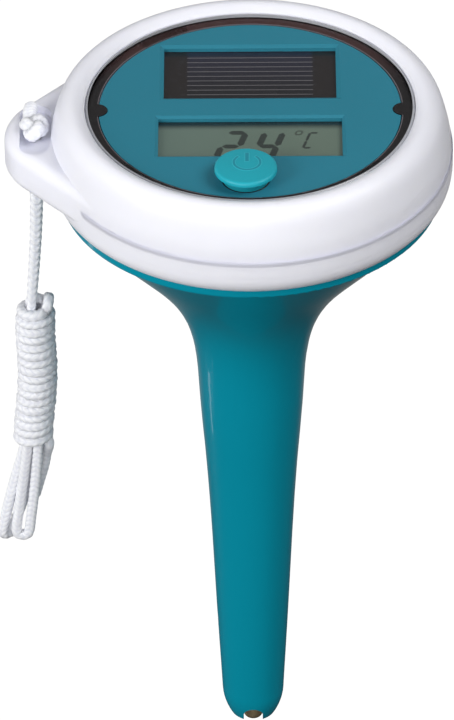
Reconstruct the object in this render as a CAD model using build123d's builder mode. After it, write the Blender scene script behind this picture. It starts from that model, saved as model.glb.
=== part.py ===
from build123d import *
from math import acos, cos, degrees, hypot, pi, radians, sin
import os

# A floating pool thermometer: a solar powered dial in a white float ring, on a long
# weighted stem that hangs in the water, with a wound lanyard on a lug at its side.
# Millimetres. +Z is up along the stem axis. Z = 0 is the parting plane between the
# float ring and the body, which is also where the thermometer floats.

# driving dimensions
lens_top = 21.0
lens_radius = 39.6
lens_thickness = 1.2
plate_radius = 36.3
plate_thickness = 1.4
plate_gap = 0.1
ring_seat_radius = 39.75
ring_bore_radius = 38.6
ring_wall = 1.8
parting_level = 4.9
lip_radius = 46.3
lip_depth = 2.6
shell_wall = 2.0
spigot_outer = 38.4
spigot_inner = 36.4
spigot_height = 7.0
stem_end = -165.6
bulkhead_top = -148.0
bulkhead_bottom = -151.0
tip_recess_radius = 4.4
probe_radius = 2.45
probe_end = -168.3

# levels that follow from them
lens_bottom = lens_top - lens_thickness
plate_top = lens_bottom - plate_gap
plate_bottom = plate_top - plate_thickness
board_top = 11.6
board_bottom = board_top - 1.6
board_radius = 33.5

# windows in the face plate: centre, size at the plate's underside, and bevel
solar_centre = (0.0, 16.2)
solar_size = (41.6, 21.3)
solar_bevel = 1.0
display_centre = (0.0, -10.9)
display_size = (44.0, 15.6)
display_bevel = 0.8
bevel_depth = 0.45

# power button and the switch below it
button_place = (-1.1, -28.6)
button_radius = 7.45
button_top = 23.8
button_underside = 21.9
button_neck_radius = 5.5
button_hole_radius = 5.9
button_neck_bottom = 16.6
button_nub_radius = 1.6
button_groove_radius = 4.5
button_clip_groove_radius = 4.2
slide_gap = 0.05
plunger_radius = 1.7
plunger_top = 14.7

# screws that hold the circuit board to the face plate's bosses
boss_places = [(-30.0, 0.0), (30.0, 0.0), (16.5, -26.5), (-18.5, -26.0), (0.0, 31.0)]
boss_radius = 2.2
screw_radius = 1.0

# lanyard lug
lug_nose_radius = 17.0
lug_nose_x = -42.2
lug_top = 14.2
lug_bottom = 3.7
lug_edge = 2.8
pocket_x = -51.65
pocket_size = (7.5, 20.5)
pocket_depth = 2.0
cord_diameter = 2.6
cord_hole_radius = 1.7
pocket_floor = lug_top - pocket_depth

os.makedirs("parts", exist_ok=True)


def keep(part, name):
    part.label = name
    export_step(part, "parts/" + name + ".step")


# White float ring: a hollow moulding, open below, with the lens seat in its top
ring_reach = 48.25
lug_root_radius = 46.9
ring_angle = acos((ring_reach - lug_nose_radius) / lug_nose_x)
lug_corner = (ring_reach * cos(ring_angle), ring_reach * sin(ring_angle))
lug_shoulder = (
    lug_nose_x + lug_nose_radius * cos(ring_angle),
    lug_nose_radius * sin(ring_angle),
)

with BuildPart() as float_ring:
    with BuildSketch(Plane.XZ):
        with BuildLine():
            Polyline(
                (ring_bore_radius, 0),
                (ring_bore_radius, 16.3),
                (35.3, 16.3),
                (35.3, plate_bottom),
                (36.5, plate_bottom),
                (36.5, lens_bottom - 0.6),
                (ring_seat_radius, lens_bottom - 0.6),
                (ring_seat_radius, lens_top),
                (40.3, 21.5),
            )
            Spline(
                (40.3, 21.5),
                (42.6, 22.4),
                (45.0, 21.4),
                (46.8, 18.2),
                (47.75, 14.6),
                (48.3, 11.4),
                (48.65, 8.2),
                (48.8, parting_level),
                tangents=((1, 0.6), (0, -1)),
            )
            Polyline((48.8, parting_level), (48.73, parting_level), (48.73, parting_level - 0.12))
            Spline(
                (48.73, parting_level - 0.12),
                (48.25, 2.0),
                (46.9, 0),
                tangents=((0, -1), (-1, -1)),
            )
            Line((46.9, 0), (ring_bore_radius, 0))
        make_face()
    revolve(axis=Axis.Z)
    with BuildPart(mode=Mode.PRIVATE) as lug:
        with BuildSketch(Plane.XY.offset(lug_bottom)):
            with BuildLine():
                Line(lug_corner, lug_shoulder)
                CenterArc((lug_nose_x, 0), lug_nose_radius, degrees(ring_angle), 180 - degrees(ring_angle))
                mirror(about=Plane.XZ)
                Line((lug_corner[0], -lug_corner[1]), lug_corner)
            make_face()
        extrude(amount=lug_top - lug_bottom)
        outer_edges = lug.edges().filter_by(Plane.XY).filter_by(
            lambda e: e.center().X < lug_corner[0] - 1
        )
        fillet(outer_edges, lug_edge)
        Cylinder(lug_root_radius, 60, mode=Mode.SUBTRACT)
    add(lug.part)
    # hollow between the inner and the outer wall
    with BuildSketch(Plane.XZ):
        with BuildLine():
            Polyline(
                (ring_bore_radius + ring_wall, -1),
                (ring_bore_radius + ring_wall, 16.5),
                (41.8, 18.4),
                (43.4, 19.4),
                (44.7, 17.6),
                (46.3, 9.0),
                (46.5, 4.5),
                (45.6, 1.5),
                (45.0, -1),
                close=True,
            )
        make_face()
    revolve(axis=Axis.Z, mode=Mode.SUBTRACT)
    # pocket for the knot, and the cord's hole through its floor
    with BuildSketch(Plane.XY.offset(pocket_floor)):
        with Locations((pocket_x, 0)):
            SlotOverall(pocket_size[1], pocket_size[0], rotation=90)
    extrude(amount=10, mode=Mode.SUBTRACT)
    with BuildSketch(Plane.XY.offset(lug_bottom - 1)):
        with Locations((pocket_x, 0)):
            Circle(cord_hole_radius)
    extrude(amount=20, mode=Mode.SUBTRACT)
keep(float_ring.part, "float_ring")

# Teal body: lip, funnel and stem in one shell, with a spigot that enters the ring
funnel_top = (44.2, -3.4)
funnel_line = [(37.9, -10.6), (31.5, -17.9)]
funnel_bottom = (25.5, -25.0)
stem_line = [
    (20.5, -32),
    (16.1, -41),
    (13.8, -51),
    (12.85, -64),
    (11.45, -84),
    (10.05, -109),
    (8.95, -134),
]
stem_shoulder = (7.8, -157.5)
funnel_way = (funnel_bottom[0] - funnel_top[0], funnel_bottom[1] - funnel_top[1])
funnel_length = hypot(*funnel_way)
funnel_inward = (
    shell_wall * funnel_way[1] / funnel_length,
    -shell_wall * funnel_way[0] / funnel_length,
)
inner_bottom = (funnel_bottom[0] + funnel_inward[0], funnel_bottom[1] + funnel_inward[1])
inner_rise = (spigot_inner - inner_bottom[0]) * funnel_way[1] / funnel_way[0]
groove_bottom = 3.2
groove_top = 4.8
groove_radius = 37.1
stem_way = (-1.0, -21.0)

with BuildPart() as body_shell:
    with BuildSketch(Plane.XZ):
        with BuildLine():
            Polyline((lip_radius - 0.4, 0), (lip_radius, -0.4), (lip_radius, -lip_depth + 0.6))
            TangentArc(
                (lip_radius, -lip_depth + 0.6), (lip_radius - 0.8, -lip_depth - 0.2), tangent=(0, -1)
            )
            Line((lip_radius - 0.8, -lip_depth - 0.2), funnel_top)
            Spline(
                funnel_top,
                *funnel_line,
                funnel_bottom,
                *stem_line,
                stem_shoulder,
                tangents=(funnel_way, stem_way),
            )
            ThreePointArc(stem_shoulder, (7.2, -161.9), (5.7, stem_end))
            Polyline(
                (5.7, stem_end),
                (tip_recess_radius, stem_end),
                (tip_recess_radius, bulkhead_bottom),
                (probe_radius + 0.05, bulkhead_bottom),
                (probe_radius + 0.05, bulkhead_top),
                (6.25, bulkhead_top),
            )
            Spline(
                (6.25, bulkhead_top),
                *[(r - shell_wall, z) for r, z in reversed(stem_line)],
                inner_bottom,
                tangents=((-stem_way[0], -stem_way[1]), (-funnel_way[0], -funnel_way[1])),
            )
            Polyline(
                inner_bottom,
                (spigot_inner, inner_bottom[1] + inner_rise),
                (spigot_inner, spigot_height),
                (spigot_outer, spigot_height),
                (spigot_outer, groove_top),
                (groove_radius, groove_top),
                (groove_radius, groove_bottom),
                (spigot_outer, groove_bottom),
                (spigot_outer, 0),
                (lip_radius - 0.4, 0),
            )
        make_face()
    revolve(axis=Axis.Z)
    # four arched notches let water reach the probe
    notch_width = 4.8
    notch_height = 4.9
    for side in range(2):
        with BuildSketch(Plane.XZ.rotated((0, 0, 90 * side)).offset(-15)):
            with Locations((0, stem_end + (notch_height - notch_width / 2) / 2 - 0.5)):
                Rectangle(notch_width, notch_height - notch_width / 2 + 1.0)
            with Locations((0, stem_end + notch_height - notch_width / 2)):
                Circle(notch_width / 2)
        extrude(amount=30, mode=Mode.SUBTRACT)
keep(body_shell.part, "body_shell")

# O-ring in the spigot's groove
with BuildPart() as body_seal:
    with BuildSketch(Plane.XZ):
        with Locations((37.85, (groove_bottom + groove_top) / 2)):
            Circle(0.7)
    revolve(axis=Axis.Z)
keep(body_seal.part, "body_seal")

# Clear lens, bevelled round its top edge, with the button's hole
with BuildPart() as lens:
    with BuildSketch(Plane.XY.offset(lens_bottom)):
        Circle(lens_radius)
    extrude(amount=lens_thickness)
    chamfer(lens.faces().sort_by(Axis.Z)[-1].edges(), 0.4)
    with BuildSketch(Plane.XY.offset(lens_bottom)):
        with Locations(button_place):
            Circle(button_hole_radius)
    extrude(amount=lens_thickness, mode=Mode.SUBTRACT)
keep(lens.part, "lens")

# Black gasket under the lens's edge, with two key tabs
tab_radius = 2.6
tab_centre = 36.9
gasket_bottom = lens_bottom - 0.6
with BuildPart() as lens_gasket:
    with BuildSketch(Plane.XY.offset(gasket_bottom)):
        Circle(lens_radius)
        Circle(plate_radius + 0.3, mode=Mode.SUBTRACT)
        with Locations((-tab_centre, 0), (tab_centre, 0)):
            Circle(tab_radius)
    extrude(amount=0.6)
keep(lens_gasket.part, "lens_gasket")

# Teal face plate with its windows, the key notches and the bosses for the board
with BuildPart() as face_plate:
    with BuildSketch(Plane.XY.offset(plate_bottom)):
        Circle(plate_radius)
        with Locations(button_place):
            Circle(button_hole_radius, mode=Mode.SUBTRACT)
    extrude(amount=plate_thickness)
    with BuildSketch(Plane.XY.offset(plate_bottom)):
        with Locations((-tab_centre, 0), (tab_centre, 0)):
            Circle(tab_radius + 0.15)
    extrude(amount=plate_thickness, mode=Mode.SUBTRACT)
    for centre, size, bevel in (
        (solar_centre, solar_size, solar_bevel),
        (display_centre, display_size, display_bevel),
    ):
        with BuildSketch(Plane.XY.offset(plate_bottom)):
            with Locations(centre):
                Rectangle(*size)
        extrude(amount=plate_thickness, mode=Mode.SUBTRACT)
        with BuildSketch(Plane.XY.offset(plate_top - bevel_depth)):
            with Locations(centre):
                Rectangle(*size)
        with BuildSketch(Plane.XY.offset(plate_top)):
            with Locations(centre):
                Rectangle(size[0] + 2 * bevel, size[1] + 2 * bevel)
        loft(mode=Mode.SUBTRACT)
    with BuildSketch(Plane.XY.offset(board_top)):
        with Locations(*boss_places):
            Circle(boss_radius)
            Circle(screw_radius + 0.05, mode=Mode.SUBTRACT)
    extrude(amount=plate_bottom - board_top)
keep(face_plate.part, "face_plate")

# Solar cell, and the tape frame that holds it under its window
tape_thickness = 0.15
cell_top = plate_bottom - tape_thickness
cell_size = (43.0, 22.6)
with BuildPart() as solar_tape:
    with BuildSketch(Plane.XY.offset(cell_top)):
        with Locations(solar_centre):
            Rectangle(*cell_size)
            Rectangle(solar_size[0] + 0.2, solar_size[1] + 0.2, mode=Mode.SUBTRACT)
    extrude(amount=tape_thickness)
keep(solar_tape.part, "solar_tape")

cell_thickness = 0.8
with BuildPart() as solar_cell:
    with BuildSketch(Plane.XY.offset(cell_top - cell_thickness)):
        with Locations(solar_centre):
            Rectangle(*cell_size)
    extrude(amount=cell_thickness)
keep(solar_cell.part, "solar_cell")

# Two solar leads from the back of the cell to the board
with BuildPart() as solar_leads:
    for x in (-17.0, 17.0):
        with BuildLine():
            lead = FilletPolyline(
                (x, 10, cell_top - cell_thickness),
                (x, 10, 15.2),
                (x * 0.9, 7.5, 13.6),
                (x * 0.9, 7.5, board_top),
                radius=0.9,
            )
        with BuildSketch(Plane(origin=lead @ 0, z_dir=lead % 0)):
            Circle(0.5)
        sweep(path=lead)
keep(solar_leads.part, "solar_leads")

# Display glass, the frame that carries it, and its two rubber connectors
glass_thickness = 1.8
glass_top = plate_bottom - 0.1
glass_bottom = glass_top - glass_thickness
strip_offset = 8.6
with BuildPart() as lcd_glass:
    with BuildSketch(Plane.XY.offset(glass_bottom)):
        with Locations(display_centre):
            Rectangle(47.0, 19.8)
    extrude(amount=glass_thickness)
    chamfer(lcd_glass.edges().filter_by(Axis.Z), 0.4)
keep(lcd_glass.part, "lcd_glass")

with BuildPart() as lcd_frame:
    with BuildSketch(Plane.XY.offset(board_top)):
        with Locations(display_centre):
            Rectangle(48.4, 20.8)
            Rectangle(43.0, 13.2, mode=Mode.SUBTRACT)
        for side in (-1, 1):
            with Locations((0, display_centre[1] + side * strip_offset)):
                Rectangle(42.2, 2.3, mode=Mode.SUBTRACT)
    extrude(amount=glass_bottom - board_top)
keep(lcd_frame.part, "lcd_frame")

with BuildPart() as zebra_strips:
    with BuildSketch(Plane.XY.offset(board_top)):
        for side in (-1, 1):
            with Locations((0, display_centre[1] + side * strip_offset)):
                Rectangle(42.0, 2.1)
    extrude(amount=glass_bottom - board_top)
keep(zebra_strips.part, "zebra_strips")

with BuildPart() as circuit_board:
    with BuildSketch(Plane.XY.offset(board_bottom)):
        Circle(board_radius)
        with Locations(*boss_places):
            Circle(screw_radius + 0.15, mode=Mode.SUBTRACT)
    extrude(amount=board_top - board_bottom)
keep(circuit_board.part, "circuit_board")

with BuildPart() as board_screws:
    with BuildSketch(Plane.XY.offset(board_bottom - 1.2)):
        with Locations(*boss_places):
            Circle(2.0)
    extrude(amount=1.2)
    with BuildSketch(Plane.XY.offset(board_bottom)):
        with Locations(*boss_places):
            Circle(screw_radius)
    extrude(amount=5.6)
    with BuildSketch(Plane.XY.offset(board_bottom - 1.2)):
        with Locations(*boss_places):
            Rectangle(2.2, 0.5)
            Rectangle(0.5, 2.2)
    extrude(amount=0.7, mode=Mode.SUBTRACT)
keep(board_screws.part, "board_screws")

with BuildPart() as driver_chip:
    with BuildSketch(Plane.XY.offset(board_top)):
        with Locations((8, 16)):
            Rectangle(9, 9)
    extrude(amount=1.6)
    fillet(driver_chip.edges().filter_by(Axis.Z), 1.0)
    chamfer(driver_chip.faces().sort_by(Axis.Z)[-1].edges(), 0.3)
keep(driver_chip.part, "driver_chip")

# Coin cell in its holder on the underside of the board
battery_place = (-14.0, 8.0)
battery_radius = 10.0
battery_bottom = 6.0
battery_top = 9.2
holder_bottom = battery_bottom - 0.6
with BuildPart() as battery_holder:
    with BuildSketch(Plane.XY.offset(holder_bottom)):
        with Locations(battery_place):
            Circle(battery_radius + 2.0)
    extrude(amount=board_bottom - holder_bottom)
    with BuildSketch(Plane.XY.offset(battery_bottom)):
        with Locations(battery_place):
            Circle(battery_radius + 0.2)
    extrude(amount=board_bottom - battery_bottom, mode=Mode.SUBTRACT)
    with BuildSketch(Plane.XY.offset(holder_bottom)):
        with Locations(battery_place):
            Circle(battery_radius - 2.0)
    extrude(amount=1.0, mode=Mode.SUBTRACT)
keep(battery_holder.part, "battery_holder")

with BuildPart() as coin_cell:
    with BuildSketch(Plane.XY.offset(battery_bottom)):
        with Locations(battery_place):
            Circle(battery_radius)
    extrude(amount=battery_top - battery_bottom)
    chamfer(coin_cell.edges().filter_by(GeomType.CIRCLE), 0.4)
keep(coin_cell.part, "coin_cell")

with BuildPart() as battery_contact:
    with BuildSketch(Plane.XY.offset(battery_top)):
        with Locations(battery_place):
            Circle(1.5)
    extrude(amount=0.4)
    with BuildSketch(Plane.XY.offset(battery_top + 0.4)):
        with Locations(battery_place):
            Rectangle(14, 3)
    extrude(amount=board_bottom - battery_top - 0.4)
keep(battery_contact.part, "battery_contact")

# Tactile switch below the button
with BuildPart() as switch_body:
    with BuildSketch(Plane.XY.offset(board_top)):
        with Locations(button_place):
            Rectangle(6, 6)
    extrude(amount=2.6)
    chamfer(switch_body.edges().filter_by(Axis.Z), 0.5)
    with BuildSketch(Plane.XY.offset(board_top + 0.6)):
        with Locations(button_place):
            Circle(plunger_radius + slide_gap)
    extrude(amount=3, mode=Mode.SUBTRACT)
keep(switch_body.part, "switch_body")

with BuildPart() as switch_plunger:
    with BuildSketch(Plane.XY.offset(board_top + 1.25)):
        with Locations(button_place):
            Circle(plunger_radius)
    extrude(amount=plunger_top - board_top - 1.25)
    chamfer(switch_plunger.faces().sort_by(Axis.Z)[-1].edges(), 0.2)
keep(switch_plunger.part, "switch_plunger")

oring_level = (plate_top + plate_bottom) / 2
oring_wire = 1.24
oring_groove = 1.36
clip_top = plate_bottom - 0.1
clip_bottom = clip_top - 0.8
button_crown = 0.3
button_shoulder = button_radius - 0.7
button_plane = Plane(origin=(button_place[0], button_place[1], 0), x_dir=(1, 0, 0), z_dir=(0, -1, 0))
button_axis = Axis((button_place[0], button_place[1], 0), (0, 0, 1))

# Mushroom cap: domed head, neck through the lens, grooves, and a nub on the plunger
with BuildPart() as button_cap:
    with BuildSketch(button_plane):
        with BuildLine():
            Line((0, button_top), (0, plunger_top + slide_gap))
            Polyline(
                (0, plunger_top + slide_gap),
                (button_nub_radius, plunger_top + slide_gap),
                (button_nub_radius, button_neck_bottom),
                (button_neck_radius, button_neck_bottom),
                (button_neck_radius, clip_bottom - slide_gap),
                (button_clip_groove_radius, clip_bottom - slide_gap),
                (button_clip_groove_radius, clip_top + slide_gap),
                (button_neck_radius, clip_top + slide_gap),
                (button_neck_radius, oring_level - oring_groove / 2),
                (button_groove_radius, oring_level - oring_groove / 2),
                (button_groove_radius, oring_level + oring_groove / 2),
                (button_neck_radius, oring_level + oring_groove / 2),
                (button_neck_radius, button_underside),
                (button_radius - 0.4, button_underside),
                (button_radius, button_underside + 0.4),
                (button_radius, button_top - button_crown - 0.7),
            )
            RadiusArc(
                (button_radius, button_top - button_crown - 0.7),
                (button_shoulder, button_top - button_crown),
                -0.72,
            )
            Spline(
                (button_shoulder, button_top - button_crown),
                (0, button_top),
                tangents=((-1, 2 * button_crown / button_shoulder), (-1, 0)),
            )
        make_face()
    revolve(axis=button_axis)
keep(button_cap.part, "button_cap")

with BuildPart() as button_oring:
    with BuildSketch(button_plane):
        with Locations((button_groove_radius + slide_gap + oring_wire / 2, oring_level)):
            Circle(oring_wire / 2)
    revolve(axis=button_axis)
keep(button_oring.part, "button_oring")

with BuildPart() as button_clip:
    with BuildSketch(Plane.XY.offset(clip_bottom)):
        with Locations(button_place):
            Circle(6.2)
            Circle(button_clip_groove_radius + slide_gap, mode=Mode.SUBTRACT)
        with Locations((button_place[0], button_place[1] - 5)):
            Rectangle(4.0, 6.0, mode=Mode.SUBTRACT)
    extrude(amount=clip_top - clip_bottom)
keep(button_clip.part, "button_clip")

# Return spring between the board and the clip
spring_wire = 0.55
spring_radius = 5.3
spring_bottom = board_top + 0.05
spring_turns = 3.5
spring_rise = clip_bottom - 0.05 - spring_bottom - spring_wire
with BuildPart() as button_spring:
    with BuildLine():
        coil = Helix(
            pitch=spring_rise / spring_turns,
            height=spring_rise,
            radius=spring_radius,
            center=(button_place[0], button_place[1], spring_bottom + spring_wire / 2),
        )
    with BuildSketch(Plane(origin=coil @ 0, z_dir=coil % 0)):
        Circle(spring_wire / 2)
    sweep(path=coil, is_frenet=True)
keep(button_spring.part, "button_spring")

socket_place = (14.0, -8.0)
socket_bottom = 6.5
with BuildPart() as lead_socket:
    with BuildSketch(Plane.XY.offset(socket_bottom)):
        with Locations(socket_place):
            Rectangle(8.4, 6.4)
    extrude(amount=board_bottom - socket_bottom)
    with BuildSketch(Plane.XY.offset(socket_bottom)):
        with Locations(socket_place):
            Rectangle(6.8, 4.8)
    extrude(amount=2.0, mode=Mode.SUBTRACT)
keep(lead_socket.part, "lead_socket")

plug_bottom = 2.5
wire_gap = 0.62
wire_radius = 0.5
wire_clearance = 0.02
with BuildPart() as lead_plug:
    with BuildSketch(Plane.XY.offset(plug_bottom)):
        with Locations(socket_place):
            Rectangle(6.6, 4.6)
    extrude(amount=5.8)
    chamfer(lead_plug.edges().filter_by(Axis.Z), 0.4)
keep(lead_plug.part, "lead_plug")

# Twin lead from the plug down the stem to the thermistor, held by ballast and potting
bead_top = -163.2
with BuildPart() as probe_lead:
    for side in (-1, 1):
        with BuildLine():
            wire = FilletPolyline(
                (socket_place[0] + side * wire_gap, socket_place[1], plug_bottom),
                (socket_place[0] + side * wire_gap, socket_place[1], -12),
                (side * wire_gap, 0, -44),
                (side * wire_gap, 0, bead_top),
                radius=18,
            )
        with BuildSketch(Plane(origin=wire @ 0, z_dir=wire % 0)):
            Circle(wire_radius)
        sweep(path=wire)
keep(probe_lead.part, "probe_lead")

with BuildPart() as thermistor:
    with BuildSketch(Plane.XY.offset(bead_top)):
        Circle(1.25)
    extrude(amount=-3.2)
    fillet(thermistor.edges().filter_by(GeomType.CIRCLE), 0.6)
keep(thermistor.part, "thermistor")

# Brass cap through the bulkhead, closed at its lower end
flange_top = bulkhead_top + 0.9
cap_bore = 1.4
with BuildPart() as probe_cap:
    with BuildSketch(Plane.XZ):
        with BuildLine():
            Polyline(
                (cap_bore, flange_top),
                (3.4, flange_top),
                (3.4, bulkhead_top),
                (probe_radius, bulkhead_top),
                (probe_radius, probe_end + 1.3),
            )
            TangentArc(
                (probe_radius, probe_end + 1.3), (probe_radius - 1.3, probe_end), tangent=(0, -1)
            )
            Polyline(
                (probe_radius - 1.3, probe_end),
                (0, probe_end),
                (0, probe_end + 0.8),
                (cap_bore, probe_end + 0.8),
                (cap_bore, flange_top),
            )
        make_face()
    revolve(axis=Axis.Z)
keep(probe_cap.part, "probe_cap")

# Potting over the cap's flange, the ballast slug, and the foam plug above it
potting_top = -143.6
with BuildPart() as probe_potting:
    with BuildSketch(Plane.XY.offset(flange_top)):
        Circle(5.9)
        with Locations((-wire_gap, 0), (wire_gap, 0)):
            Circle(wire_radius + wire_clearance, mode=Mode.SUBTRACT)
    extrude(amount=potting_top - flange_top)
keep(probe_potting.part, "probe_potting")

ballast_bottom = -143.5
ballast_top = -98.0
lead_bore = 1.8
with BuildPart() as ballast_weight:
    with BuildSketch(Plane.XY.offset(ballast_bottom)):
        Circle(6.0)
    extrude(amount=ballast_top - ballast_bottom)
    chamfer(ballast_weight.edges().filter_by(GeomType.CIRCLE), 0.8)
    Cylinder(lead_bore, 400, mode=Mode.SUBTRACT)
keep(ballast_weight.part, "ballast_weight")

with BuildPart() as ballast_plug:
    with BuildSketch(Plane.XY.offset(ballast_top)):
        Circle(8.2)
        Circle(lead_bore, mode=Mode.SUBTRACT)
    extrude(amount=6.0)
keep(ballast_plug.part, "ballast_plug")

# Knot that sits in the lug's pocket and stops the cord
knot_size = (6.3, 9.6, 4.8)
with BuildPart() as lanyard_knot:
    with BuildSketch(Plane.XY.offset(pocket_floor)):
        with Locations((pocket_x - 0.1, 1.2)):
            RectangleRounded(knot_size[0], knot_size[1], 3.0)
    extrude(amount=knot_size[2])
    fillet(lanyard_knot.faces().sort_by(Axis.Z)[-1].edges(), 2.0)
keep(lanyard_knot.part, "lanyard_knot")

# Cord from the knot, through the lug, down to the hank: its weight keeps it near straight
cord_route = [
    (pocket_x, 0, pocket_floor),
    (pocket_x, 0, -1.5),
    (-52.1, 0.2, -18.5),
    (-52.6, 0, -35.6),
]


def corner_radii(route):
    radii = []
    for before, here, after in zip(route, route[1:], route[2:]):
        into = Vector(*here) - Vector(*before)
        out = Vector(*after) - Vector(*here)
        half_turn = radians(into.get_angle(out)) / 2
        radii.append(0.45 * min(into.length, out.length) / (sin(half_turn) / cos(half_turn)))
    return radii


with BuildPart() as lanyard_cord:
    with BuildLine():
        cord_line = FilletPolyline(*cord_route, radius=corner_radii(cord_route))
    with BuildSketch(Plane(origin=cord_line @ 0, z_dir=cord_line % 0)):
        Circle(cord_diameter / 2)
    sweep(path=cord_line)
keep(lanyard_cord.part, "lanyard_cord")

# Outer shape of the wound hank and of the loops that hang out of it:
# level, centre X, half width along X and along Y
hank_sections = [
    (-35.6, -52.0, 3.6, 2.9),
    (-39.0, -52.5, 5.2, 4.7),
    (-58.0, -53.1, 5.5, 5.1),
    (-79.5, -53.8, 5.4, 4.9),
    (-84.0, -54.6, 4.8, 3.9),
    (-97.0, -57.6, 4.2, 3.3),
    (-107.5, -59.0, 4.6, 3.1),
    (-110.8, -59.4, 3.4, 2.2),
]
with BuildPart() as lanyard_hank:
    for level, x, half_x, half_y in hank_sections:
        with BuildSketch(Plane.XY.offset(level)):
            with Locations((x, 0)):
                Ellipse(half_x, half_y)
    loft(ruled=True)
keep(lanyard_hank.part, "lanyard_hank")

cord_area = pi * cord_diameter**2 / 4
print("cord radii", [round(r) for r in corner_radii(cord_route)])
print("cord volume", round(lanyard_cord.part.volume, 1), "expected", round(cord_area * cord_line.length, 1))
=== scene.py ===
from math import cos, pi, radians, sin

import bpy
from mathutils import Matrix, Vector


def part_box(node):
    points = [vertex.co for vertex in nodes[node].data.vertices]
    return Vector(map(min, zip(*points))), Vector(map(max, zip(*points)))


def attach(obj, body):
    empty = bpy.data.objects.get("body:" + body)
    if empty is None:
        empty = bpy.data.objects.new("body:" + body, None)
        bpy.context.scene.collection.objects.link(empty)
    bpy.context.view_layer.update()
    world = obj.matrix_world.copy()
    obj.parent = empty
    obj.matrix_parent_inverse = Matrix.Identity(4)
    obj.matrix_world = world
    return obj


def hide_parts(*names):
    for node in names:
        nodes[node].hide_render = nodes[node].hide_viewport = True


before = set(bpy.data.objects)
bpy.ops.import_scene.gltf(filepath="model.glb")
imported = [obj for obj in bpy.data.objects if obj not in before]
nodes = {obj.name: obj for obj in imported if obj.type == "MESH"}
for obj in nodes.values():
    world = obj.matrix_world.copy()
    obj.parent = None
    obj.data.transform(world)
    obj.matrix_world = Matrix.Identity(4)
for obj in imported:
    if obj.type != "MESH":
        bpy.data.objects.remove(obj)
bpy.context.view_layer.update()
mm = 0.001

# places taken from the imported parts
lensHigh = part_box("lens")[1]
lensTop = lensHigh[2]
lensRadius = lensHigh[0]
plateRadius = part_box("face_plate")[1][1]
buttonLow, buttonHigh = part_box("button_cap")
buttonX = (buttonLow[0] + buttonHigh[0]) / 2
buttonY = (buttonLow[1] + buttonHigh[1]) / 2
buttonTop = buttonHigh[2]
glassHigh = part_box("lcd_glass")[1]
cellLow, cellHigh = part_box("solar_cell")
cellX = (cellLow[0] + cellHigh[0]) / 2
cellY = (cellLow[1] + cellHigh[1]) / 2
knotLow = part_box("lanyard_knot")[0]


def deselectAll():
    if bpy.context.mode != "OBJECT":
        bpy.ops.object.mode_set(mode="OBJECT")
    bpy.ops.object.select_all(action="DESELECT")


def makeActive(piece):
    deselectAll()
    piece.select_set(True)
    bpy.context.view_layer.objects.active = piece


def applyPlace(piece):
    makeActive(piece)
    bpy.ops.object.transform_apply(location=True, rotation=True, scale=True)


def applyModifiers(piece):
    makeActive(piece)
    for modifier in list(piece.modifiers):
        bpy.ops.object.modifier_apply(modifier=modifier.name)


def joinAll(pieces, name):
    makeActive(pieces[0])
    for piece in pieces:
        piece.select_set(True)
    bpy.ops.object.join()
    joined = bpy.context.active_object
    joined.name = name
    return joined


def dress(piece, *materials):
    piece.data.materials.clear()
    for material in materials:
        piece.data.materials.append(material)


# small helpers for shader nodes: a value may be a number, a colour or another node's output
def addNode(tree, kind, **settings):
    node = tree.nodes.new(kind)
    for key, value in settings.items():
        setattr(node, key, value)
    return node


def feed(tree, socket, value):
    if isinstance(value, bpy.types.NodeSocket):
        tree.links.new(value, socket)
    else:
        socket.default_value = value


def calc(tree, operation, *values, clamp=False):
    node = addNode(tree, "ShaderNodeMath", operation=operation, use_clamp=clamp)
    for socket, value in zip(node.inputs, values):
        feed(tree, socket, value)
    return node.outputs[0]


def ramp(tree, value, low, high):
    # 0 up to low, 1 from high on, and smooth between; the other way round if low is higher
    node = addNode(tree, "ShaderNodeMapRange", interpolation_type="SMOOTHSTEP")
    feed(tree, node.inputs["Value"], value)
    if low < high:
        limits = (low, high, 0.0, 1.0)
    else:
        limits = (high, low, 1.0, 0.0)
    for name, limit in zip(("From Min", "From Max", "To Min", "To Max"), limits):
        node.inputs[name].default_value = limit
    return node.outputs["Result"]


def mixColour(tree, share, first, second):
    node = addNode(tree, "ShaderNodeMix", data_type="RGBA")
    feed(tree, node.inputs[0], share)
    feed(tree, node.inputs[6], first)
    feed(tree, node.inputs[7], second)
    return node.outputs[2]


def ownPlace(tree):
    place = addNode(tree, "ShaderNodeTexCoord").outputs["Object"]
    split = addNode(tree, "ShaderNodeSeparateXYZ")
    tree.links.new(place, split.inputs[0])
    return place, split.outputs[0], split.outputs[1], split.outputs[2]


def awayFrom(tree, x, y, centreX=0.0, centreY=0.0):
    # distance in plan from an upright axis
    dx = calc(tree, "SUBTRACT", x, centreX)
    dy = calc(tree, "SUBTRACT", y, centreY)
    squares = calc(tree, "ADD", calc(tree, "MULTIPLY", dx, dx), calc(tree, "MULTIPLY", dy, dy))
    return calc(tree, "SQRT", squares)


def noise(tree, place, scale, detail=2.0):
    node = addNode(tree, "ShaderNodeTexNoise")
    feed(tree, node.inputs["Vector"], place)
    feed(tree, node.inputs["Scale"], scale)
    feed(tree, node.inputs["Detail"], detail)
    return node.outputs["Fac"]


def newGroup(name, inputs, outputs):
    group = bpy.data.node_groups.new(name, "ShaderNodeTree")
    for socketName, value in inputs.items():
        kind = "NodeSocketColor" if isinstance(value, tuple) else "NodeSocketFloat"
        socket = group.interface.new_socket(name=socketName, in_out="INPUT", socket_type=kind)
        socket.default_value = value
    for socketName, kind in outputs.items():
        group.interface.new_socket(name=socketName, in_out="OUTPUT", socket_type=kind)
    return group, addNode(group, "NodeGroupInput").outputs, addNode(group, "NodeGroupOutput").inputs


finishOutputs = {
    "Colour": "NodeSocketColor",
    "Roughness": "NodeSocketFloat",
    "Height": "NodeSocketFloat",
}


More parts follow.
